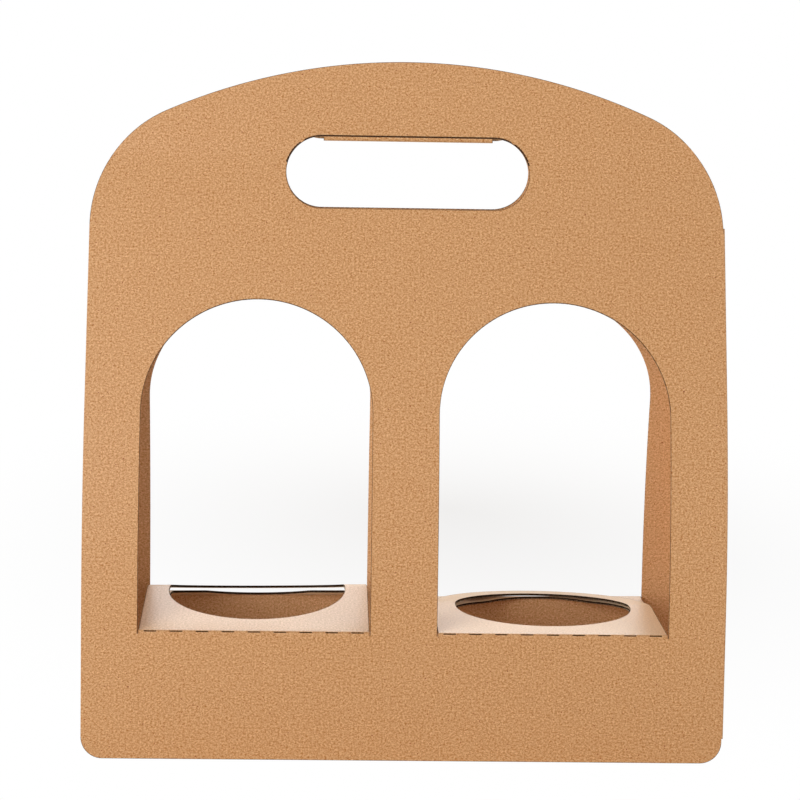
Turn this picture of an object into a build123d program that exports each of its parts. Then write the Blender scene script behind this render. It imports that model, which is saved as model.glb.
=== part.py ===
from build123d import *
from math import asin, cos, radians, sin, tan
import os

os.makedirs("parts", exist_ok=True)

# A carrier for two cups, cut and folded from one blank of thin fluted kraft board.
# Front and back panels lean together and are joined at each end by a folded side wall.
# X runs along the carrier, Y from front to back, Z up from the floor.

# Board
board = 1.1                 # thickness
nip = 0.3                   # air between two boards that lie together

# Outline of a panel, seen from the front
panel_width = 298.4         # between the cut edges
panel_height = 323.9        # floor to the top of the crown
crown_radius = 281.4        # long arc along the top
shoulder_radius = 59        # arc from the crown into each side
corner_radius = 10          # bottom corners

# How far the outer faces stand at the floor from the plane where the panels meet
front_reach = 50.1758
back_reach_left = 41.5047   # the back panel stands less open at its left end
back_reach_right = 59.6635
foot_lean = 0.8             # degrees from upright below the shelf, all panels
waist_start = 70            # height where the bend above the shelf begins
waist_end = 168.6           # height where it ends
crown_to_pinch = 35.9       # above this the panels stand upright, side by side
pinch_length = 12           # height of the bend below that

# Windows
window_spacing = 138.8      # between the middles of the two windows
window_width = 107.7
front_sill = 60.3           # height of the front shelf folds
left_back_sill = 61         # heights of the back shelf folds
right_back_sill = 59.6
arch_rise = 51.7            # a half circle of the flat board, seen on the slope
slot_to_arch = 42.35        # height of the board between the hand slot and the arches

# Hand slot, and the flap folded back through it
slot_length = 115
slot_height = 33.5
crown_to_slot = 52.2        # down to the middle of the slot
handle_drop = 0.4           # the flap passes this far below the top of the back slot
handle_bend = 0.3           # radius of the flap's bends, inside
handle_margin = 0.8         # the flap's neck is this much narrower at each side

# Side walls
wall_bottom = 11.7
crown_to_walls = 75.9       # down to the top of the walls
wall_fold = 6.3             # degrees that the two leaves of a wall turn inward
fold_proud = 0.8            # a folded corner stands this far outside the cut edges
corner_fold = 0.7           # outer radius of the folded corners
tab_width = 18              # glue tab behind the left edge of the front panel
tab_margin = 5              # the tab is shorter than the wall by this at each end

# Front shelf flaps, each with a round hole and a round free end about the same middle
flap_clearance = 0.5        # at each side of a flap
hole_diameter = 85
hole_distance = 59.6        # from the fold to the middle of the hole, along the board
crest_distance = 66         # from the fold to the crest, along the board
crest_radius = 18
left_rise_outside = 9.8     # height of the crest above the fold, at the flap's two sides
left_rise_inside = 11.2
right_rise_inside = 3
right_rise_outside = 2.2
left_fall = 11              # degrees that the board slopes down behind the crest
right_fall = 2.6

# Back shelf flaps, which lie under the front ones
under_length = 56
under_step = 10             # length of the first stretch, up to a slight bend
left_step_rise = 3          # height of that bend above the fold
right_step_rise = -0.9
under_nest = 5              # they meet the front flap this far before its crest
under_radius = 12
recess_distance = 53        # from the fold to the middle of the round recess

# Cuts along the shelf folds
slit_pitch = 12
slit_length = 5.8
slit_width = 0.7
slit_count = 9

# Folds
fold_radius = 1.5           # outer radius of the board where it is folded

pinch_end = panel_height - crown_to_pinch
pinch_start = pinch_end - pinch_length
wall_top = panel_height - crown_to_walls
slot_middle = panel_height - crown_to_slot
arch_spring = slot_middle - slot_height / 2 - slot_to_arch - arch_rise
half_width = panel_width / 2
upright_reach = nip / 2 + board
fold_x = half_width + fold_proud
fold_foot = 2 * fold_radius
slot_top = slot_middle + slot_height / 2
flap_half_width = window_width / 2 - flap_clearance

# Each window: its middle and back sill, then how its front flap rises at the left and at
# the right and falls behind the crest, then the first rise of its back flap
windows = (
    (
        -window_spacing / 2,
        left_back_sill,
        left_rise_outside,
        left_rise_inside,
        left_fall,
        left_step_rise,
    ),
    (
        window_spacing / 2,
        right_back_sill,
        right_rise_inside,
        right_rise_outside,
        right_fall,
        right_step_rise,
    ),
)


def waist_radius(lean):
    return (waist_end - waist_start) / (sin(radians(lean)) - sin(radians(foot_lean)))


def reach_at(lean, height):
    """Distance of a panel's outer face from the plane where the two panels meet."""
    foot = radians(foot_lean)
    slope = radians(lean)
    pinch_radius = (pinch_end - pinch_start) / sin(slope)
    pinch_reach = upright_reach + pinch_radius * (1 - cos(slope))
    if height >= waist_end:
        return pinch_reach + (pinch_start - height) * tan(slope)
    waist_reach = pinch_reach + (pinch_start - waist_end) * tan(slope)
    if height >= waist_start:
        angle = asin(sin(foot) + (height - waist_start) / waist_radius(lean))
        return waist_reach + waist_radius(lean) * (cos(angle) - cos(slope))
    foot_reach = waist_reach + waist_radius(lean) * (cos(foot) - cos(slope))
    return foot_reach + (waist_start - height) * tan(foot)


def lean_for(foot_reach):
    """Lean above the waist, in degrees, of a panel whose foot stands out this far."""
    lean = 45
    step = lean / 2
    for _ in range(40):
        lean += step if reach_at(lean, 0) < foot_reach else -step
        step /= 2
    return lean


def hole_run(left_rise, right_rise):
    """Level distance from a front fold to the middle of its hole."""
    return hole_distance * cos(asin((left_rise + right_rise) / 2 / crest_distance))


front_lean = lean_for(front_reach)
back_lean_left = lean_for(back_reach_left)
back_lean_right = lean_for(back_reach_right)

# The plane between the panels. The origin lies midway between the front panel's foot and
# the free end of the right front flap, which stands out over the back sill.
flap_reach = hole_run(right_rise_inside, right_rise_outside) + flap_half_width
meeting_y = (reach_at(front_lean, 0) + reach_at(front_lean, front_sill) - flap_reach) / 2


def front_y(height):
    return meeting_y - reach_at(front_lean, height)


def back_y(x, height):
    """Outer face of the back panel, which is ruled from its left end to its right."""
    share = (x + half_width) / panel_width
    left_reach = reach_at(back_lean_left, height)
    right_reach = reach_at(back_lean_right, height)
    return meeting_y + left_reach + share * (right_reach - left_reach)


def panel_curve(side, lean, inset):
    """Draw a panel's face, or a line inset from it, from the floor to the top."""
    foot = radians(foot_lean)
    slope = radians(lean)
    below = -2 * board
    corners = (
        (reach_at(lean, below), below, foot),
        (reach_at(lean, waist_start), waist_start, foot),
        (reach_at(lean, waist_end), waist_end, slope),
        (reach_at(lean, pinch_start), pinch_start, slope),
        (upright_reach, pinch_end, 0),
        (upright_reach, panel_height + board, 0),
    )
    points = [
        (meeting_y + side * (reach - inset * cos(angle)), height - inset * sin(angle))
        for reach, height, angle in corners
    ]
    foot_line = Line(points[0], points[1])
    TangentArc(points[1], points[2], tangent=foot_line % 1)
    slope_line = Line(points[2], points[3])
    TangentArc(points[3], points[4], tangent=slope_line % 1)
    upright_line = Line(points[4], points[5])
    return foot_line @ 0, upright_line @ 1


def panel_section(x, side, lean, layer=0):
    """Section across a panel. Layer 1 is a second board against its inner face."""
    with BuildSketch(Plane.YZ.offset(x)) as section:
        with BuildLine():
            low_outer, high_outer = panel_curve(side, lean, layer * board)
            low_inner, high_inner = panel_curve(side, lean, (layer + 1) * board)
            Line(low_outer, low_inner)
            Line(high_outer, high_inner)
        make_face()
    return section.sketch


def wall_section(front_x, back_x, inward, height):
    """Plan of a side wall at one height, with its two leaves folded inward."""
    front = front_y(height)
    back = back_y(max(min(back_x, half_width), -half_width), height)
    depth = (back - front) / 2 * tan(radians(wall_fold))
    fold_line = ((front_x + back_x) / 2 + inward * depth, (front + back) / 2)
    front_bend, back_bend = [corner_fold if abs(x) > half_width else 0 for x in (front_x, back_x)]
    with BuildSketch(Plane.XY.offset(height)) as section:
        with BuildLine():
            FilletPolyline(
                (front_x, front),
                fold_line,
                (back_x, back),
                (back_x + inward * board, back),
                (fold_line[0] + inward * board, fold_line[1]),
                (front_x + inward * board, front),
                radius=(front_bend, 0, back_bend, 0, 0, 0),
                close=True,
            )
        make_face()
    return section.sketch


def flap_section(x, upper_line, bends, side):
    """Section of a folded flap: a foot in its panel, the fold, then a bent board."""
    with BuildSketch(Plane.YZ.offset(x)) as section:
        with BuildLine():
            FilletPolyline(*upper_line, radius=(fold_radius, *bends))
            offset(amount=board, side=side)
        make_face()
    return section.sketch


def front_crest(rise):
    """Fold and crest of a front flap's upper face."""
    fold = Vector(front_y(front_sill), front_sill)
    return fold, fold + Vector((crest_distance**2 - rise**2) ** 0.5, rise)


def front_flap_line(rise, fall):
    """Foot, fold, crest and free end of a front flap's upper face."""
    foot = Vector(front_y(front_sill - fold_foot), front_sill - fold_foot)
    fold, crest = front_crest(rise)
    far_run = hole_distance + flap_half_width + board - crest_distance
    return foot, fold, crest, crest + Vector(far_run, -far_run * tan(radians(fall)))


def back_flap_line(x, sill, rise, step_rise):
    """Foot, fold, two bends and free end of the back flap that lies under a front flap."""
    front_fold, crest = front_crest(rise)
    near = (crest - front_fold).normalized()
    below = Vector(near.Y, -near.X) * (board + nip)
    nest = crest - near * under_nest + below
    foot = Vector(back_y(x, sill - fold_foot), sill - fold_foot)
    fold = Vector(back_y(x, sill), sill)
    step = fold + Vector(-((under_step**2 - step_rise**2) ** 0.5), step_rise)
    rest = under_length - under_step - (step - nest).length
    return foot, fold, step, nest, nest - near * rest


# Panels: bent boards trimmed to one outline, with two windows and a hand slot
with BuildPart() as panels:
    extrude(panel_section(-half_width - board, -1, front_lean), amount=panel_width + 2 * board)
    loft(
        [
            panel_section(-half_width, 1, back_lean_left),
            panel_section(half_width, 1, back_lean_right),
        ],
        ruled=True,
    )
    with BuildSketch(Plane.XZ):
        with Locations((0, panel_height / 2)):
            Rectangle(panel_width, panel_height)
        with Locations((0, panel_height - crown_radius)):
            Circle(crown_radius, mode=Mode.INTERSECT)
        fillet(vertices().group_by(Axis.Y)[-1], shoulder_radius)
        fillet(vertices().group_by(Axis.Y)[0], corner_radius)
    extrude(amount=panel_width, both=True, mode=Mode.INTERSECT)
    for panel_side in (-1, 1):
        with BuildSketch(Plane.XZ.offset(-meeting_y)):
            for middle, back_sill, *_ in windows:
                cut_end = (front_sill if panel_side < 0 else back_sill) - fold_radius
                with Locations((middle, (arch_spring + cut_end) / 2)):
                    Rectangle(window_width, arch_spring - cut_end)
                with Locations((middle, arch_spring)):
                    Ellipse(window_width / 2, arch_rise)
            with Locations((0, slot_middle)):
                SlotOverall(slot_length, slot_height)
        extrude(amount=-panel_side * panel_width, mode=Mode.SUBTRACT)

# Side walls: two leaves with a fold between them, and a glue tab behind the left edge
with BuildPart() as walls:
    bend_steps = 4
    heights = [wall_bottom]
    for step in range(bend_steps + 1):
        heights.append(waist_start + (waist_end - waist_start) * step / bend_steps)
    heights.append(wall_top)
    for front_x, back_x, inward in ((-half_width, -fold_x, 1), (fold_x, fold_x, -1)):
        loft([wall_section(front_x, back_x, inward, height) for height in heights], ruled=True)

with BuildPart() as tab:
    extrude(panel_section(-half_width, -1, front_lean, layer=1), amount=tab_width)
    with BuildSketch(Plane.XZ):
        with Locations((-half_width + tab_width / 2, (wall_bottom + wall_top) / 2)):
            Rectangle(tab_width, wall_top - wall_bottom - 2 * tab_margin)
    extrude(amount=panel_width, both=True, mode=Mode.INTERSECT)

# Shelf flaps: each is folded in at a window's sill, with the cup hole in the front one
with BuildPart() as front_flaps:
    for middle, _, left_rise, right_rise, fall, _ in windows:
        sections = []
        for x, rise in ((middle - flap_half_width, left_rise), (middle + flap_half_width, right_rise)):
            upper_line = front_flap_line(rise, fall)
            sections.append(flap_section(x, upper_line, [crest_radius], Side.RIGHT))
        loft(sections, ruled=True)
    with BuildSketch(Plane.XY.offset(front_sill / 2)):
        for middle, _, left_rise, right_rise, _, _ in windows:
            run = hole_run(left_rise, right_rise)
            hole_y = front_y(front_sill) + run
            foot_y = front_y(0) - board
            with Locations((middle, hole_y)):
                Circle(flap_half_width)
            with Locations((middle, (hole_y + foot_y) / 2)):
                Rectangle(window_width, hole_y - foot_y)
            with Locations((middle, hole_y)):
                Ellipse(hole_diameter / 2, hole_diameter / 2 * run / hole_distance, mode=Mode.SUBTRACT)
    extrude(amount=front_sill, mode=Mode.INTERSECT)

# The back flaps are short, with a round recess that clears the cup
with BuildPart() as back_flaps:
    for middle, sill, left_rise, right_rise, _, step_rise in windows:
        sections = []
        for x, rise in ((middle - flap_half_width, left_rise), (middle + flap_half_width, right_rise)):
            upper_line = back_flap_line(x, sill, rise, step_rise)
            sections.append(flap_section(x, upper_line, [under_radius, under_radius], Side.LEFT))
        loft(sections, ruled=True)
    with BuildSketch(Plane.XY.offset(front_sill / 2)):
        for middle, sill, *_ in windows:
            with Locations((middle, back_y(middle, sill) - recess_distance)):
                Circle(hole_diameter / 2)
    extrude(amount=front_sill, mode=Mode.SUBTRACT)

# Handle flap: through both slots and folded up behind the back panel
with BuildPart() as handle_flap:
    neck_width = slot_length - slot_height - 2 * handle_margin
    hinge_y = meeting_y - nip / 2 - board
    behind_y = meeting_y + nip / 2 + board + nip
    bottom = slot_top - handle_drop - board
    with BuildSketch(Plane.YZ.offset(-neck_width / 2)):
        with BuildLine():
            FilletPolyline(
                (hinge_y, slot_top + board),
                (hinge_y, bottom),
                (behind_y + board, bottom),
                (behind_y + board, slot_top + slot_height / 2),
                radius=handle_bend + board,
            )
            offset(amount=board, side=Side.LEFT)
        make_face()
    extrude(amount=neck_width)
    with BuildSketch(Plane.XZ.offset(-behind_y)):
        with Locations((0, bottom + slot_height / 2)):
            SlotOverall(slot_length, slot_height)
    extrude(amount=-board)

with BuildPart() as cup_carrier:
    add(panels.part)
    add(walls.part)
    add(tab.part)
    add(front_flaps.part)
    add(back_flaps.part)
    add(handle_flap.part)
    for middle, sill, *_ in windows:
        for number in range(slit_count):
            x = middle + (number - (slit_count - 1) / 2) * slit_pitch
            slits = (
                (x, front_y(front_sill), front_sill),
                (x, back_y(x, sill), sill),
            )
            with Locations(*slits):
                Box(
                    slit_length,
                    4 * board,
                    slit_width,
                    rotation=(-45, 0, 0),
                    mode=Mode.SUBTRACT,
                )

cup_carrier.part.label = "cup_carrier"
export_step(cup_carrier.part, "parts/cup_carrier.step")
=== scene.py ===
from functools import lru_cache
from math import asin, atan, ceil, cos, pi, radians, sin, tan

import bmesh
import bpy
from mathutils import Matrix, Vector
from mathutils.geometry import delaunay_2d_cdt


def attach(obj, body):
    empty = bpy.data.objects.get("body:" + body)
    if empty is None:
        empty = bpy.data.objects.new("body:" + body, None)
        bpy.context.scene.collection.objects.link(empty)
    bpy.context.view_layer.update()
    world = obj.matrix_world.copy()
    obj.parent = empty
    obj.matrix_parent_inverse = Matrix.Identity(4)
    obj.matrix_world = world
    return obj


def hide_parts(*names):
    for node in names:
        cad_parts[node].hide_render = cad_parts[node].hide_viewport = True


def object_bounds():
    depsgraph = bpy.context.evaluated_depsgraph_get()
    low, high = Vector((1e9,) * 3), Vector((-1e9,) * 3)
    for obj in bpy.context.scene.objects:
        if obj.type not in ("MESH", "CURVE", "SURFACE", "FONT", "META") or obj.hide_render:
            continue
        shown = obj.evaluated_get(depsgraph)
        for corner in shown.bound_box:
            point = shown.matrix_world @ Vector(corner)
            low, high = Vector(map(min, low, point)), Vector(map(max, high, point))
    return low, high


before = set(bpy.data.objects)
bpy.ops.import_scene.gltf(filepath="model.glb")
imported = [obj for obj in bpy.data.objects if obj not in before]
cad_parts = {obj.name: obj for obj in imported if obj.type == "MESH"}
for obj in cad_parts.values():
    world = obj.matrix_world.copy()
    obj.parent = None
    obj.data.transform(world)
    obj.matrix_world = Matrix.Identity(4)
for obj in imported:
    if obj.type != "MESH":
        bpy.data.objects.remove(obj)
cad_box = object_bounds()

# The front panel: thin kraft board with fine flutes that run up the panel.
# It is cut to a round-shouldered outline with two arched windows and a hand slot, and
# bent back above the shelf so that it leans against the back panel.
board = 0.0011
liner = 0.00017             # one paper of the board
flute_pitch = 0.0024
flute_steps = 6             # divisions in one flute
crush_depth = 0.0006        # the flutes are pressed shut this far inside a cut edge
scorch_width = 0.00017      # fine dark line that a cut leaves along the outer face
slot_shade_width = 0.0008         # painted shade: the same dark line, wider, above the hand slot
scorch_height = 0.000005    # how far the line lies in front of the face
nip = 0.0003                # air between two boards that lie together
hair = 0.00001              # places nearer than this count as the same
weld_distance = 0.000002
cut_tolerance = 1e-7
faces_without_holes = 5     # the kind of filling asked of the triangulation
sharpest_bend = radians(32) # a sharper angle between two faces is shown as an edge

panel_width = 0.2984
panel_height = 0.3239
crown_radius = 0.2814
shoulder_radius = 0.059
corner_radius = 0.010
half_width = panel_width / 2

foot_lean = radians(0.8)    # below the shelf, all panels
front_lean = radians(16.3)  # above the waist
back_lean_left = radians(13.4)
back_lean_right = radians(19.4)
waist_start = 0.070
waist_end = 0.1686
pinch_start = 0.276
pinch_end = 0.288
upright_reach = nip / 2 + board

window_width = 0.1077
window_middles = (-0.0694, 0.0694)
front_sill = 0.0603
back_sills = (0.0613, 0.0599)
arch_spring = 0.1609
arch_rise = 0.0517
fold_radius = 0.0015
fold_reach = 0.053          # just inside the ends of a shelf fold, from its middle

slot_length = 0.115
slot_height = 0.0335
slot_middle = 0.2717
slot_top = slot_middle + slot_height / 2
# the painted shade along the slot's cut edge starts at this height
slot_shade_from = slot_middle + 0.005

wall_bottom = 0.0117
wall_top = 0.248

wide_step = 0.02            # divisions where the board is flat
waist_step = 0.012
pinch_step = 0.003


def tilt_at(lean, height):
    """Angle of a panel from upright at one height."""
    if height >= pinch_end:
        return 0.0
    if height >= pinch_start:
        share = (height - pinch_start) / (pinch_end - pinch_start)
        return asin(sin(lean) * (1 - share))
    if height >= waist_end:
        return lean
    share = max(0.0, (height - waist_start) / (waist_end - waist_start))
    return asin(sin(foot_lean) + (sin(lean) - sin(foot_lean)) * share)


def reach_at(lean, height):
    """Distance of a panel's outer face from the plane where the two panels meet."""
    pinch_radius = (pinch_end - pinch_start) / sin(lean)
    if height >= pinch_start:
        return upright_reach + pinch_radius * (1 - cos(tilt_at(lean, height)))
    slope_foot = max(height, waist_end)
    reach = upright_reach + pinch_radius * (1 - cos(lean)) + (pinch_start - slope_foot) * tan(lean)
    if height < waist_end:
        waist_radius = (waist_end - waist_start) / (sin(lean) - sin(foot_lean))
        reach += waist_radius * (cos(tilt_at(lean, height)) - cos(lean))
    if height < waist_start:
        reach += (waist_start - height) * tan(foot_lean)
    return reach


meeting_y = cad_box[0][1] + reach_at(front_lean, 0) + scorch_height


def front_y(height):
    return meeting_y - reach_at(front_lean, height)


def front_place(x, height, depth):
    tilt = tilt_at(front_lean, height)
    return x, front_y(height) + depth * cos(tilt), max(0.0, height - depth * sin(tilt))


def arc_points(centre, radius, start, end, steps, squash=1.0):
    """Points along an arc, angles in degrees; squash flattens it from top to bottom."""
    points = []
    for step in range(steps + 1):
        angle = radians(start + (end - start) * step / steps)
        points.append((centre[0] + radius * cos(angle), centre[1] + squash * radius * sin(angle)))
    return points


def panel_outline():
    """Round bottom corners, upright sides, a shoulder arc and the long crown arc."""
    crown_centre = panel_height - crown_radius
    shoulder_x = half_width - shoulder_radius
    shoulder_z = crown_centre + ((crown_radius - shoulder_radius) ** 2 - shoulder_x**2) ** 0.5
    turn = atan((shoulder_z - crown_centre) / shoulder_x) * 180 / pi
    low = half_width - corner_radius
    return (
        arc_points((low, corner_radius), corner_radius, -90, 0, 12)
        + arc_points((shoulder_x, shoulder_z), shoulder_radius, 0, turn, 36)
        + arc_points((0, crown_centre), crown_radius, turn, 180 - turn, 90)[1:-1]
        + arc_points((-shoulder_x, shoulder_z), shoulder_radius, 180 - turn, 180, 36)
        + arc_points((-low, corner_radius), corner_radius, 180, 270, 12)
    )


def window_outline(middle, sill):
    """The window's arch, cut down to where its shelf flap is folded away."""
    low = sill - fold_radius
    arch = arc_points((middle, arch_spring), window_width / 2, 0, 180, 72, arch_rise / window_width * 2)
    return [(middle - window_width / 2, low), (middle + window_width / 2, low)] + arch


def slot_outline():
    radius = slot_height / 2
    reach = slot_length / 2 - radius
    right = arc_points((reach, slot_middle), radius, -90, 90, 36)
    left = arc_points((-reach, slot_middle), radius, 90, 270, 36)
    return right + left


def spread(low, high, step):
    """Even divisions strictly between two values, about one step apart."""
    count = max(1, ceil((high - low) / step))
    return [low + (high - low) * number / count for number in range(1, count)]


def flat_board(outline, holes, u_lines, v_lines):
    """A flat face of the cut blank, divided along straight lines so that it can bend."""
    corners = []
    rings = []
    for ring in [outline] + holes:
        rings.append(list(range(len(corners), len(corners) + len(ring))))
        corners += [Vector(point) for point in ring]
    filled = delaunay_2d_cdt(corners, [], rings, faces_without_holes, cut_tolerance)
    mesh = bmesh.new()
    verts = [mesh.verts.new((point.x, point.y, 0)) for point in filled[0]]
    for face in filled[2]:
        mesh.faces.new([verts[index] for index in face])
    fill_mark = mesh.edges.layers.int.new("fill")
    for edge in mesh.edges:
        edge[fill_mark] = 0 if edge.is_boundary else 1
    for axis, lines in ((0, u_lines), (1, v_lines)):
        for line in lines:
            centre = [0, 0, 0]
            centre[axis] = line
            normal = [0, 0, 0]
            normal[axis] = 1
            everything = mesh.verts[:] + mesh.edges[:] + mesh.faces[:]
            bmesh.ops.bisect_plane(
                mesh, geom=everything, dist=cut_tolerance, plane_co=centre, plane_no=normal
            )
    extra = [edge for edge in mesh.edges if edge[fill_mark] and on_no_line(edge, u_lines, v_lines)]
    bmesh.ops.dissolve_edges(mesh, edges=extra, use_verts=False)
    mesh.verts.index_update()
    return mesh


def on_no_line(edge, u_lines, v_lines):
    """Whether an edge of the filling is one that no bend needs."""
    start, end = edge.verts[0].co, edge.verts[1].co
    for axis, lines in ((0, u_lines), (1, v_lines)):
        if abs(start[axis] - end[axis]) < cut_tolerance:
            return all(abs(start[axis] - line) > 10 * cut_tolerance for line in lines)
    return True


def rim_edges(flat):
    """The cut edges of a flat board, each as a start and an end with the board on its left."""
    for edge in flat.edges:
        if edge.is_boundary:
            start, end = [(vert.co.x, vert.co.y) for vert in edge.verts]
            yield (start, end) if edge.link_loops[0].vert == edge.verts[0] else (end, start)


def spans_at(rings, u):
    """Where the line at u runs inside the cut shape, as (low, high) pairs."""
    crossings = []
    for ring in rings:
        for start, end in zip(ring, ring[1:] + ring[:1]):
            if (start[0] > u) != (end[0] > u):
                share = (u - start[0]) / (end[0] - start[0])
                crossings.append(start[1] + share * (end[1] - start[1]))
    crossings.sort()
    return list(zip(crossings[::2], crossings[1::2]))


def board_piece(
    name, outline, place, holes=(), u_lines=(), v_lines=(), depth=0.0,
    joined=lambda u, v: False, blank=lambda u, v: (u, v), scorch=lambda u, v: scorch_width,
):
    """A cut and bent board: an outer and an inner liner with the fluted paper between them.

    Joined tells where an edge runs on into the next part, so that no cut is seen there.
    Blank gives the place on the flat blank, for the paper's grain and the flutes.
    Scorch gives the width of the fine dark line that the cut leaves along the outer face; where a
    caller widens it, the extra width is painted shade.
    The flutes are pressed shut a little way inside each cut edge."""
    flat = flat_board(outline, list(holes), u_lines, v_lines)
    points, faces, uvs, slots = [], [], [], []

    def add_face(corner_uvs, corner_points, slot):
        first = len(points)
        points.extend(corner_points)
        faces.append(tuple(range(first, first + len(corner_points))))
        uvs.extend(blank(u, v) for u, v in corner_uvs)
        slots.append(slot)

    for near, far in ((0, liner), (board - liner, board)):
        for level, slot in ((near, 0 if near == 0 else 1), (far, 1)):
            for face in flat.faces:
                loop = [(vert.co.x, vert.co.y) for vert in face.verts]
                if level == far:
                    loop.reverse()
                add_face(loop, [place(u, v, depth + level) for u, v in loop], slot)
        for start, end in rim_edges(flat):
            rim = [place(*end, depth + near), place(*start, depth + near)]
            rim += [place(*start, depth + far), place(*end, depth + far)]
            middle = ((start[0] + end[0]) / 2, (start[1] + end[1]) / 2)
            cut = not joined(*middle)
            add_face([end, start, start, end], rim, 2 if cut else 0 if near == 0 else 1)
            if cut and near == 0:
                inward = Vector((start[1] - end[1], end[0] - start[0])).normalized()
                a, b = [tuple(Vector(point) + inward * crush_depth) for point in (start, end)]
                shut = [place(*b, depth + liner), place(*a, depth + liner)]
                shut += [place(*a, depth + board - liner), place(*b, depth + board - liner)]
                add_face([b, a, a, b], shut, 2)
                if scorch(*middle):
                    a, b = [tuple(Vector(point) + inward * scorch(*middle)) for point in (start, end)]
                    line = [start, end, b, a]
                    add_face(line, [place(*point, depth - scorch_height) for point in line], 2)

    rings = [outline] + list(holes)
    low = min(point[0] for point in outline)
    high = max(point[0] for point in outline)
    count = int((high - low) / flute_pitch * flute_steps)
    wave_reach = board / 2 - liner - liner / 2
    previous = None
    for number in range(count + 1):
        u = low + hair + (high - low - 2 * hair) * number / count
        column = []
        for bottom, top in spans_at(rings, u):
            heights = [bottom] + [v for v in v_lines if bottom + hair < v < top - hair] + [top]
            waves = [sin(2 * pi * blank(u, v)[0] / flute_pitch) for v in heights]
            column.append([(u, v, board / 2 + wave_reach * wave) for v, wave in zip(heights, waves)])
        if previous and len(previous) == len(column):
            for left, right in zip(previous, column):
                for a, b, c in zipped(left, right):
                    for shift, order in ((-liner / 2, (a, b, c)), (liner / 2, (c, b, a))):
                        tri = [place(u, v, depth + d + shift) for u, v, d in order]
                        add_face([(u, v) for u, v, _ in order], tri, 3)
        previous = column

    data = bpy.data.meshes.new(name)
    data.from_pydata(points, [], faces)
    uv_layer = data.uv_layers.new(name="blank")
    for loop, uv in zip(uv_layer.data, uvs):
        loop.uv = uv
    for polygon, slot in zip(data.polygons, slots):
        polygon.material_index = slot
        polygon.use_smooth = True
    welded = bmesh.new()
    welded.from_mesh(data)
    bmesh.ops.remove_doubles(welded, verts=welded.verts, dist=weld_distance)
    welded.to_mesh(data)
    data.set_sharp_from_angle(angle=sharpest_bend)
    piece = bpy.data.objects.new(name, data)
    bpy.context.collection.objects.link(piece)
    for material in (face_paper, inner_paper, cut_edge, flute_paper):
        data.materials.append(material)
    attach(piece, "root")
    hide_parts("cup_carrier")
    return piece


def zipped(left, right):
    """Triangles between two columns of points, each column sorted upward."""
    i = j = 0
    while i < len(left) - 1 or j < len(right) - 1:
        go_left = j == len(right) - 1
        if i < len(left) - 1 and j < len(right) - 1:
            go_left = left[i + 1][1] <= right[j + 1][1]
        if go_left:
            yield left[i], right[j], left[i + 1]
            i += 1
        else:
            yield left[i], right[j], right[j + 1]
            j += 1


def paper(name, colour, contrast, roughness, shine):
    """Kraft paper: tan fibres, fine mottling, a few dark specks and faint flute lines."""
    material = bpy.data.materials.new(name)
    material.use_nodes = True
    nodes, links = material.node_tree.nodes, material.node_tree.links
    shader = nodes["Principled BSDF"]
    shader.inputs["Roughness"].default_value = roughness
    shader.inputs["Specular IOR Level"].default_value = shine
    shader.inputs["Sheen Weight"].default_value = 2 * shine
    shader.inputs["Sheen Roughness"].default_value = 0.4
    shader.inputs["Sheen Tint"].default_value = (1.0, 0.80, 0.54, 1)

    blank = nodes.new("ShaderNodeUVMap")
    blank.uv_map = "blank"

    def noise(stretch, detail, seed):
        mapping = nodes.new("ShaderNodeMapping")
        mapping.inputs["Scale"].default_value = stretch
        mapping.inputs["Location"].default_value = (seed, seed * 0.37, 0)
        links.new(blank.outputs["UV"], mapping.inputs["Vector"])
        texture = nodes.new("ShaderNodeTexNoise")
        texture.inputs["Scale"].default_value = 1
        texture.inputs["Detail"].default_value = detail
        links.new(mapping.outputs["Vector"], texture.inputs["Vector"])
        return texture.outputs["Fac"]

    def math(operation, a, b):
        node = nodes.new("ShaderNodeMath")
        node.operation = operation
        for socket, value in zip(node.inputs, (a, b)):
            if isinstance(value, (int, float)):
                socket.default_value = value
            else:
                links.new(value, socket)
        return node.outputs[0]

    def scaled(value, centre, amount):
        return math("MULTIPLY", math("SUBTRACT", value, centre), amount)

    fibres = noise((1000, 1100, 1), 2, 11)
    grain = noise((1850, 2050, 1), 1, 23)
    mottle = noise((70, 90, 1), 3, 5)
    clouds = noise((12, 9, 1), 2, 31)

    split = nodes.new("ShaderNodeSeparateXYZ")
    links.new(blank.outputs["UV"], split.inputs[0])
    flute = math("SINE", math("MULTIPLY", split.outputs["X"], 2 * pi / flute_pitch), 0)

    tone = math("ADD", scaled(fibres, 0.5, 2.0), scaled(grain, 0.5, 1.5))
    tone = math("ADD", tone, scaled(mottle, 0.5, 0.09))
    tone = math("ADD", tone, scaled(clouds, 0.5, 0.06))
    tone = math("ADD", math("MULTIPLY", tone, contrast), math("MULTIPLY", flute, 0.012 * contrast))

    specks = nodes.new("ShaderNodeMapRange")
    specks.inputs["From Min"].default_value = 0.70
    specks.inputs["From Max"].default_value = 0.76
    links.new(noise((900, 1100, 1), 1, 47), specks.inputs["Value"])

    level = math("SUBTRACT", tone, math("MULTIPLY", specks.outputs[0], 0.9))
    red, green, blue = colour
    shade = nodes.new("ShaderNodeVectorMath")
    shade.operation = "MULTIPLY_ADD"
    links.new(level, shade.inputs[0])
    shade.inputs[1].default_value = (0.60 * red, 0.98 * green, 1.6 * blue)
    shade.inputs[2].default_value = colour
    links.new(shade.outputs[0], shader.inputs["Base Color"])

    height = math("ADD", math("MULTIPLY", fibres, 0.5), math("MULTIPLY", grain, 0.3))
    height = math("ADD", height, math("MULTIPLY", flute, 0.22))
    bump = nodes.new("ShaderNodeBump")
    bump.inputs["Strength"].default_value = 0.35
    bump.inputs["Distance"].default_value = 0.00006
    links.new(height, bump.inputs["Height"])
    links.new(bump.outputs["Normal"], shader.inputs["Normal"])
    return material


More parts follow.
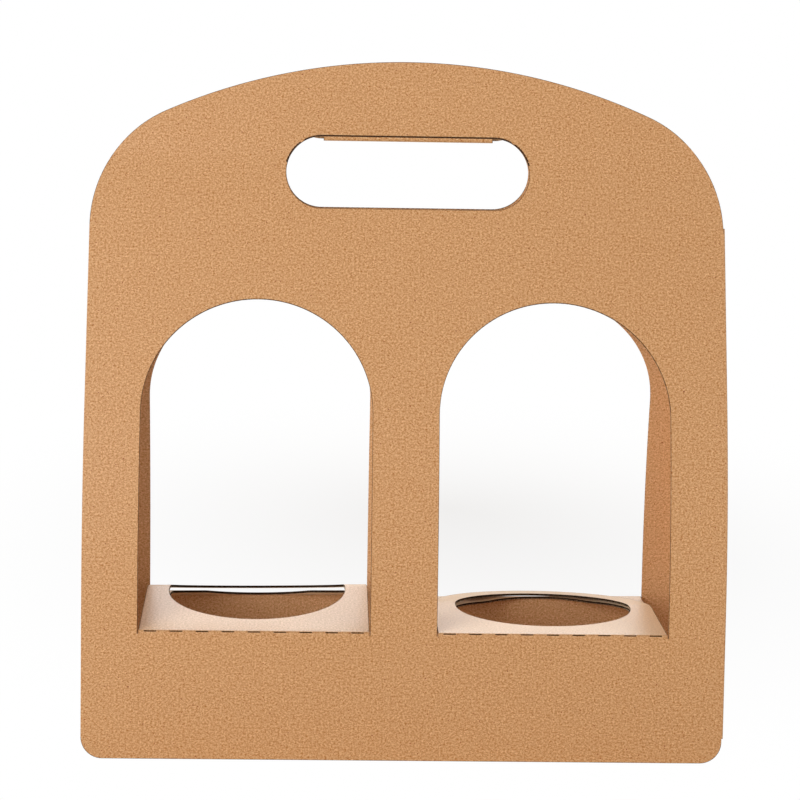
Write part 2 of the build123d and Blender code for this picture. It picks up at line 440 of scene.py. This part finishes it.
face_paper = paper("kraft_face", (0.575, 0.293, 0.118), 1.0, 0.36, 0.48)
# the inside liner is a lighter tan than the face: partly the paper's own colour, partly painted light
# for the inner faces, which lie in shade
inner_paper = paper("kraft_inside", (0.720, 0.410, 0.198), 0.8, 0.5, 0.4)
cut_edge = paper("scorched_edge", (0.060, 0.031, 0.017), 0.9, 0.9, 0.03)
flute_paper = paper("kraft_flute", (0.130, 0.068, 0.036), 0.8, 0.9, 0.03)

bend_levels = (
    [waist_start]
    + spread(waist_start, waist_end, waist_step)
    + [waist_end, pinch_start]
    + spread(pinch_start, pinch_end, pinch_step)
    + [pinch_end]
)
flat_levels = [0.035, 0.195, 0.222, 0.249, slot_middle, 0.305]
panel_levels = sorted(bend_levels + flat_levels)
panel_columns = spread(-half_width, half_width, wide_step)


def runs_on(x, height, sills):
    """Whether a panel's edge is a fold: into a side wall or into a shelf flap."""
    if abs(x) > half_width - hair:
        return wall_bottom < height < wall_top
    sill = sills[0 if x < 0 else 1]
    at_window = abs(abs(x) - window_middles[1]) < fold_reach
    return at_window and abs(height - sill + fold_radius) < hair


def front_scorch_and_shade(x, height):
    """Above the slot the dark line is widened into painted shade along the slot's cut edge."""
    at_slot = abs(x) < slot_length / 2 + hair and slot_shade_from < height < slot_top + hair
    return slot_shade_width if at_slot else scorch_width


board_piece(
    "front_panel",
    panel_outline(),
    front_place,
    holes=[window_outline(middle, front_sill) for middle in window_middles] + [slot_outline()],
    u_lines=panel_columns,
    v_lines=panel_levels,
    joined=lambda u, v: runs_on(u, v, (front_sill, front_sill)),
    scorch=front_scorch_and_shade,
)

# The back panel: the same board and outline, seen through the front windows.
# It stands wider at its right end than at its left, so the whole panel is slightly twisted.


def back_y(x, height):
    share = (x + half_width) / panel_width
    left_reach = reach_at(back_lean_left, height)
    right_reach = reach_at(back_lean_right, height)
    return meeting_y + left_reach + share * (right_reach - left_reach)


def back_place(x, height, depth):
    share = (x + half_width) / panel_width
    left_slope = tan(tilt_at(back_lean_left, height))
    right_slope = tan(tilt_at(back_lean_right, height))
    tilt = atan(left_slope + share * (right_slope - left_slope))
    return x, back_y(x, height) - depth * cos(tilt), max(0.0, height - depth * sin(tilt))


def turned(ring):
    """The same ring seen from the other face of the board."""
    return [(-x, height) for x, height in reversed(ring)]


back_holes = [window_outline(middle, sill) for middle, sill in zip(window_middles, back_sills)]
back_holes.append(slot_outline())
board_piece(
    "back_panel",
    turned(panel_outline()),
    lambda u, v, depth: back_place(-u, v, depth),
    holes=[turned(ring) for ring in back_holes],
    u_lines=panel_columns,
    v_lines=panel_levels,
    joined=lambda u, v: runs_on(-u, v, back_sills),
)

# The side walls: each is two leaves of the blank between the panels, with an upright
# fold in the middle that lets the carrier lie flat. Both corners at the right are folded,
# and at the left the wall ends in a tab that is glued behind the front panel.
wall_fold = radians(6.3)    # the two leaves turn inward by this
wall_half = 0.054           # half the width of the ring that a wall is cut from
fold_proud = 0.00078        # a folded corner stands this far outside the cut edges
corner_fold = 0.0006
corner_zone = 0.0014        # width of a folded corner, the same at every height
corner_step = 0.0002
middle_fold = 0.0014
middle_lines = [-0.0012, 0, 0.0012]
tab_width = 0.018
tab_margin = 0.005          # the tab is shorter than the wall by this at each end


class BentLine:
    """A line through corners that are rounded, read by the distance along it."""

    def __init__(self, corners, radii):
        corners = [Vector(corner) for corner in corners]
        self.runs = []
        start = corners[0]
        for before, corner, after, radius in zip(corners, corners[1:], corners[2:], radii):
            into = (corner - before).normalized()
            out = (after - corner).normalized()
            turn = into.angle_signed(out)
            back = radius * tan(abs(turn) / 2)
            self.runs.append((start, into, (corner - into * back - start).length, 0.0))
            bend = radius * abs(turn)
            self.runs.append((corner - into * back, into, bend, -turn / bend))
            start = corner + out * back
        heading = (corners[-1] - start).normalized()
        self.runs.append((start, heading, (corners[-1] - start).length, 0.0))
        self.length = sum(run[2] for run in self.runs)

    def at(self, distance):
        """Point and heading at a distance along the line."""
        for start, heading, length, curl in self.runs:
            if distance <= length or (start, heading, length, curl) == self.runs[-1]:
                break
            distance -= length
        if not curl:
            return start + heading * distance, heading
        angle = curl * distance
        side = Vector((-heading.y, heading.x))
        point = start + heading * (sin(angle) / curl) + side * ((1 - cos(angle)) / curl)
        return point, heading * cos(angle) + side * sin(angle)


@lru_cache(maxsize=None)
def wall_line(side, height):
    """Plan of a wall's outer face at one height, from the front corner to the back."""
    front = front_y(height)
    back = back_y(side * half_width, height)
    fold_x = half_width + fold_proud
    start_x, corner_x = half_width, fold_x
    if side < 0:
        front += board
        start_x, corner_x = half_width - fold_proud, half_width
    depth = (back - front) / 2 * tan(wall_fold)
    corners = (
        (side * start_x, front),
        (side * corner_x, front),
        (side * ((corner_x + fold_x) / 2 - depth), (front + back) / 2),
        (side * fold_x, back),
        (side * half_width, back),
    )
    return BentLine(corners, (corner_fold, middle_fold, corner_fold))


def wall_blank(side):
    """Shares out a wall's width at each height; the folded corners keep their size."""
    def blank(u, height):
        reach = wall_line(side, round(height, 7)).length / 2
        if abs(u) > wall_half - corner_zone:
            return (reach - wall_half + abs(u)) * (1 if u > 0 else -1), height
        return u * (reach - corner_zone) / (wall_half - corner_zone), height
    return blank


def wall_place(side):
    blank = wall_blank(side)
    def place(u, height, depth):
        line = wall_line(side, round(height, 7))
        point, heading = line.at(line.length / 2 - side * blank(u, height)[0])
        inward = Vector((-heading.y, heading.x)) * side
        return point.x + inward.x * depth, point.y + inward.y * depth, height
    return place


wall_levels = sorted([0.04, 0.195, 0.222] + [level for level in bend_levels if level < wall_top])
wall_ring = [(-wall_half, wall_bottom), (wall_half, wall_bottom)]
wall_ring += [(wall_half, wall_top), (-wall_half, wall_top)]
corner_lines = spread(wall_half - corner_zone, wall_half, corner_step) + [wall_half - corner_zone]
for side, name in ((-1, "left_wall"), (1, "right_wall")):
    board_piece(
        name,
        wall_ring,
        wall_place(side),
        u_lines=middle_lines + corner_lines + [-line for line in corner_lines],
        v_lines=wall_levels,
        joined=lambda u, v: abs(u) > wall_half - hair,
        blank=wall_blank(side),
    )

tab_low = wall_bottom + tab_margin
tab_high = wall_top - tab_margin
tab_right = -half_width + tab_width
tab_left = -half_width + fold_proud
board_piece(
    "glue_tab",
    [(tab_left, tab_low), (tab_right, tab_low), (tab_right, tab_high), (tab_left, tab_high)],
    front_place,
    v_lines=[level for level in wall_levels if tab_low < level < tab_high],
    depth=board,
)

# The front shelf flaps: each is hinged along the sill of a front window, runs back
# through the carrier and out over the back sill. A round hole in it holds the cup, its
# end is rounded about the same middle, and short cuts along the fold let it hinge.
flap_clearance = 0.0005     # at each side of a flap
flap_half_width = window_width / 2 - flap_clearance
flap_division = 0.026
hole_radius = 0.0425
hole_distance = 0.0596      # from the fold to the middle of the hole, along the board
crest_distance = 0.066      # from the fold to the crest, along the board
crest_radius = 0.018
crest_step = 0.0012
end_reach = 0.06            # the board's line is drawn this far behind the crest
fold_step = 0.0004
slit_pitch = 0.012
slit_length = 0.0058
slit_width = 0.0006
slit_count = 9

# Each flap pair: side, middle, back sill, rises of the crest at its two sides, fall
# behind the crest, and rise of the back flap's first stretch
flap_forms = (
    ("left", window_middles[0], back_sills[0], (0.0098, 0.0112), radians(11), 0.003),
    ("right", window_middles[1], back_sills[1], (0.003, 0.0022), radians(2.9), -0.0009),
)


def rise_at(x, middle, rises):
    """Height of a front flap's crest above its fold."""
    share = (x - middle) / (2 * flap_half_width) + 0.5
    return rises[0] + share * (rises[1] - rises[0])


def front_crest(rise):
    """Fold and crest of a front flap's upper face, in depth and height."""
    fold = Vector((front_y(front_sill), front_sill))
    return fold, fold + Vector(((crest_distance**2 - rise**2) ** 0.5, rise))


@lru_cache(maxsize=None)
def front_flap_line(x, middle, rises, fall):
    foot = Vector((front_y(front_sill - fold_radius), front_sill - fold_radius))
    fold, crest = front_crest(rise_at(x, middle, rises))
    end = crest + Vector((end_reach, -end_reach * tan(fall)))
    return BentLine((foot, fold, crest, end), (fold_radius, crest_radius))


def flap_place(line_at, facing):
    """Facing is 1 for a flap of the front panel and -1 for a flap seen from behind."""
    def place(u, distance, depth):
        x = round(facing * u, 7)
        point, heading = line_at(x).at(distance)
        under = Vector((heading.y, -heading.x)) * facing
        return x, point.x + under.x * depth, point.y + under.y * depth
    return place


def fold_slits(middle, along):
    """Outlines of the short cuts along a fold."""
    rings = []
    for number in range(slit_count):
        x = middle + (number - (slit_count - 1) / 2) * slit_pitch
        left, right = x - slit_length / 2, x + slit_length / 2
        low, high = along - slit_width / 2, along + slit_width / 2
        rings.append([(left, low), (right, low), (right, high), (left, high)])
    return rings


for name, middle, sill, rises, fall, step_rise in flap_forms:
    line = front_flap_line(middle, middle, rises, fall)
    foot_run, fold_run, near_run, crest_run = [run[2] for run in line.runs[:4]]
    fold_end = foot_run + fold_run
    crest_start = fold_end + near_run
    hole_v = fold_end - fold_radius + hole_distance
    left, right = middle - flap_half_width, middle + flap_half_width
    levels = [foot_run] + spread(foot_run, fold_end, fold_step) + [fold_end]
    levels += spread(fold_end, crest_start, wide_step) + [crest_start]
    levels += spread(crest_start, crest_start + crest_run, crest_step)
    levels += [crest_start + crest_run, crest_start + crest_run + wide_step]
    board_piece(
        name + "_front_flap",
        [(left, 0), (right, 0)] + arc_points((middle, hole_v), flap_half_width, 0, 180, 90),
        flap_place(lambda x, m=middle, r=rises, f=fall: front_flap_line(x, m, r, f), 1),
        holes=[arc_points((middle, hole_v), hole_radius, 0, 360, 120)[:-1]]
        + fold_slits(middle, foot_run + fold_run / 2),
        u_lines=[middle - flap_division, middle, middle + flap_division],
        v_lines=levels,
        joined=lambda u, v: v < hair,
        scorch=lambda u, v, end=fold_end: scorch_width if v > end else 0,
    )

# The back shelf flaps: short flaps hinged along the back sills, tucked under the front
# ones to carry them. A round recess in each clears the cup.
under_length = 0.056
under_step = 0.010          # length of the first stretch, up to a slight bend
under_nest = 0.005          # they meet the front flap this far before its crest
under_radius = 0.012
recess_distance = 0.0445    # from the fold to the middle of the recess, along the board


@lru_cache(maxsize=None)
def back_flap_line(x, middle, sill, rises, step_rise):
    front_fold, crest = front_crest(rise_at(x, middle, rises))
    near = (crest - front_fold).normalized()
    nest = crest - near * under_nest + Vector((near.y, -near.x)) * (board + nip)
    foot = Vector((back_y(x, sill - fold_radius), sill - fold_radius))
    fold = Vector((back_y(x, sill), sill))
    step = fold + Vector((-((under_step**2 - step_rise**2) ** 0.5), step_rise))
    rest = under_length - under_step - (step - nest).length
    corners = (foot, fold, step, nest, nest - near * rest)
    return BentLine(corners, (fold_radius, under_radius, under_radius))


for name, middle, sill, rises, fall, step_rise in flap_forms:
    line = back_flap_line(middle, middle, sill, rises, step_rise)
    foot_run, fold_run = [run[2] for run in line.runs[:2]]
    levels = [foot_run] + spread(foot_run, foot_run + fold_run, fold_step)
    run_start = foot_run + fold_run
    for run in line.runs[2:]:
        levels.append(run_start)
        levels += spread(run_start, run_start + run[2], crest_step if run[3] else waist_step)
        run_start += run[2]
    end = min(
        back_flap_line(x, middle, sill, rises, step_rise).length
        for x in (middle - fold_reach, middle + fold_reach)
    )
    recess_v = foot_run + fold_run - fold_radius + recess_distance
    start_angle = asin((end - recess_v) / hole_radius) * 180 / pi
    recess = arc_points((middle, recess_v), hole_radius, start_angle, -180 - start_angle, 90)
    left, right = middle - flap_half_width, middle + flap_half_width
    board_piece(
        name + "_back_flap",
        turned([(left, 0), (right, 0), (right, end)] + recess + [(left, end)]),
        flap_place(lambda x, m=middle, s=sill, r=rises, t=step_rise: back_flap_line(x, m, s, r, t), -1),
        holes=[turned(slit) for slit in fold_slits(middle, foot_run + fold_run / 2)],
        u_lines=[-middle],
        v_lines=levels,
        joined=lambda u, v: v < hair,
    )

# The handle flap: the board cut from the front hand slot, still joined along its top.
# It is folded back through both slots and stands up behind the back panel, so that the
# hand meets a smooth double bend.
handle_drop = 0.0009        # the flap passes this far below the top of the back slot
handle_bend = 0.0003        # radius of its bends, inside
handle_step = 0.0003
handle_margin = 0.0008      # its neck is this much narrower at each side
handle_trim = 0.0006        # its end is this much smaller than the slot, all round
neck_overlap = 0.0004       # its wide end starts this far inside the neck's last bend
handle_half = 0.05          # its divisions lie between minus this and this
neck_half = (slot_length - slot_height) / 2 - handle_margin
hinge_y = meeting_y - nip / 2 - board
behind_y = meeting_y + nip / 2 + board + nip
neck_bottom = slot_top - handle_drop - board
handle_line = BentLine(
    (
        (hinge_y, slot_top),
        (hinge_y, neck_bottom),
        (behind_y + board, neck_bottom),
        (behind_y + board, neck_bottom + slot_height),
    ),
    (handle_bend + board, handle_bend + board),
)
neck_end = sum(run[2] for run in handle_line.runs[:4])
flap_radius = slot_height / 2 - handle_trim
flap_reach = slot_length / 2 - slot_height / 2
flap_middle = neck_end + flap_radius - neck_overlap
handle_ring = (
    [(-neck_half, 0), (neck_half, 0), (neck_half, flap_middle - flap_radius)]
    + arc_points((flap_reach, flap_middle), flap_radius, -90, 90, 36)
    + arc_points((-flap_reach, flap_middle), flap_radius, 90, 270, 36)
    + [(-neck_half, flap_middle - flap_radius)]
)
handle_levels = [handle_line.runs[0][2]]
for run in handle_line.runs[1:4]:
    run_start = handle_levels[-1]
    if run[3]:
        handle_levels += spread(run_start, run_start + run[2], handle_step)
    handle_levels.append(run_start + run[2])
board_piece(
    "handle_flap",
    turned(handle_ring),
    flap_place(lambda x: handle_line, -1),
    u_lines=spread(-handle_half, handle_half, wide_step),
    v_lines=handle_levels + [flap_middle],
    joined=lambda u, v: v < hair,
)

# The floor and the light: a white studio floor that fades into the white around it, with painted shade
# round and behind the carrier, a large soft lamp at the front left, a weaker one at the front right,
# and one behind and above that lights the shelf.


def stage_material():
    """White that glows towards the camera; round and behind the carrier less glow is mixed in, showing
    the floor's own shadow together with painted shade.
    """
    material = bpy.data.materials.new("white_floor")
    material.use_nodes = True
    nodes, links = material.node_tree.nodes, material.node_tree.links
    shader = nodes["Principled BSDF"]
    shader.inputs["Base Color"].default_value = (0.82, 0.80, 0.78, 1)
    shader.inputs["Roughness"].default_value = 0.9
    glow = nodes.new("ShaderNodeEmission")
    glow.inputs["Strength"].default_value = 1.0

    # painted shade: a soft pool behind the carrier where the glow is turned down, so the floor greys
    # there even where no shadow falls
    place = nodes.new("ShaderNodeTexCoord")
    near = nodes.new("ShaderNodeMapping")
    near.vector_type = "TEXTURE"
    near.inputs["Location"].default_value = (0.06, 0.75, 0)
    near.inputs["Scale"].default_value = (0.44, 0.88, 1)
    links.new(place.outputs["Object"], near.inputs["Vector"])
    fade = nodes.new("ShaderNodeTexGradient")
    fade.gradient_type = "QUADRATIC_SPHERE"
    links.new(near.outputs["Vector"], fade.inputs["Vector"])
    share = nodes.new("ShaderNodeMapRange")
    share.inputs["To Min"].default_value = 1.0
    share.inputs["To Max"].default_value = 0.42
    links.new(fade.outputs["Fac"], share.inputs["Value"])

    path = nodes.new("ShaderNodeLightPath")
    seen = nodes.new("ShaderNodeMath")
    seen.operation = "MULTIPLY"
    links.new(path.outputs["Is Camera Ray"], seen.inputs[0])
    links.new(share.outputs[0], seen.inputs[1])
    mix = nodes.new("ShaderNodeMixShader")
    links.new(seen.outputs[0], mix.inputs[0])
    links.new(shader.outputs[0], mix.inputs[1])
    links.new(glow.outputs[0], mix.inputs[2])
    links.new(mix.outputs[0], nodes["Material Output"].inputs["Surface"])
    return material


floor_data = bpy.data.meshes.new("floor")
floor_reach = 9.0
floor_data.from_pydata(
    [(-floor_reach, -floor_reach, 0), (floor_reach, -floor_reach, 0),
     (floor_reach, floor_reach, 0), (-floor_reach, floor_reach, 0)],
    [],
    [(0, 1, 2, 3)],
)
floor = bpy.data.objects.new("floor", floor_data)
floor_data.materials.append(stage_material())
bpy.context.collection.objects.link(floor)


def lamp(name, place, aim, size, power):
    data = bpy.data.lights.new(name, "AREA")
    data.shape = "SQUARE"
    data.size = size
    data.energy = power
    lamp_object = bpy.data.objects.new(name, data)
    lamp_object.location = place
    lamp_object.rotation_euler = (Vector(aim) - Vector(place)).to_track_quat("-Z", "Y").to_euler()
    bpy.context.collection.objects.link(lamp_object)


lamp("key", (-1.15, -1.6, 0.5), (0, 0, 0.15), 1.2, 25)
lamp("fill", (1.6, -1.4, 0.5), (0, 0, 0.15), 1.4, 7.5)
lamp("back", (0.1, 1.5, 1.1), (0, 0, 0.06), 1.2, 13)

world = bpy.data.worlds.new("studio")
world.use_nodes = True
bpy.context.scene.world = world
sky = world.node_tree.nodes["Background"]
sky.inputs["Color"].default_value = (1, 1, 1, 1)
sky_path = world.node_tree.nodes.new("ShaderNodeLightPath")
sky_level = world.node_tree.nodes.new("ShaderNodeMapRange")
sky_level.inputs["To Min"].default_value = 0.36
sky_level.inputs["To Max"].default_value = 1.0
sky_seen = world.node_tree.nodes.new("ShaderNodeMath")
sky_seen.operation = "MAXIMUM"
world.node_tree.links.new(sky_path.outputs["Is Camera Ray"], sky_seen.inputs[0])
world.node_tree.links.new(sky_path.outputs["Is Glossy Ray"], sky_seen.inputs[1])
world.node_tree.links.new(sky_seen.outputs[0], sky_level.inputs["Value"])
world.node_tree.links.new(sky_level.outputs[0], sky.inputs["Strength"])

# The camera: level with the hand slot, a little left of the middle, looking down slightly.
# Its lens is long, so that the upright edges stay nearly parallel.
yaw = 0.0301
pitch = 0.1058
roll = -0.0159
forward = Vector((sin(yaw) * cos(pitch), cos(yaw) * cos(pitch), -sin(pitch)))
level_right = Vector((cos(yaw), -sin(yaw), 0))
level_up = level_right.cross(forward)
right = level_right * cos(roll) - level_up * sin(roll)
up = level_right * sin(roll) + level_up * cos(roll)
camera_data = bpy.data.cameras.new("camera")
camera_data.lens = 119.05
camera_data.sensor_width = 36
camera = bpy.data.objects.new("camera", camera_data)
camera.matrix_world = Matrix.Translation((-0.0398, -1.26366, 0.2972)) @ Matrix(
    (right, up, -forward)
).transposed().to_4x4()
bpy.context.collection.objects.link(camera)
bpy.context.scene.camera = camera
bpy.context.scene.view_settings.view_transform = "Standard"
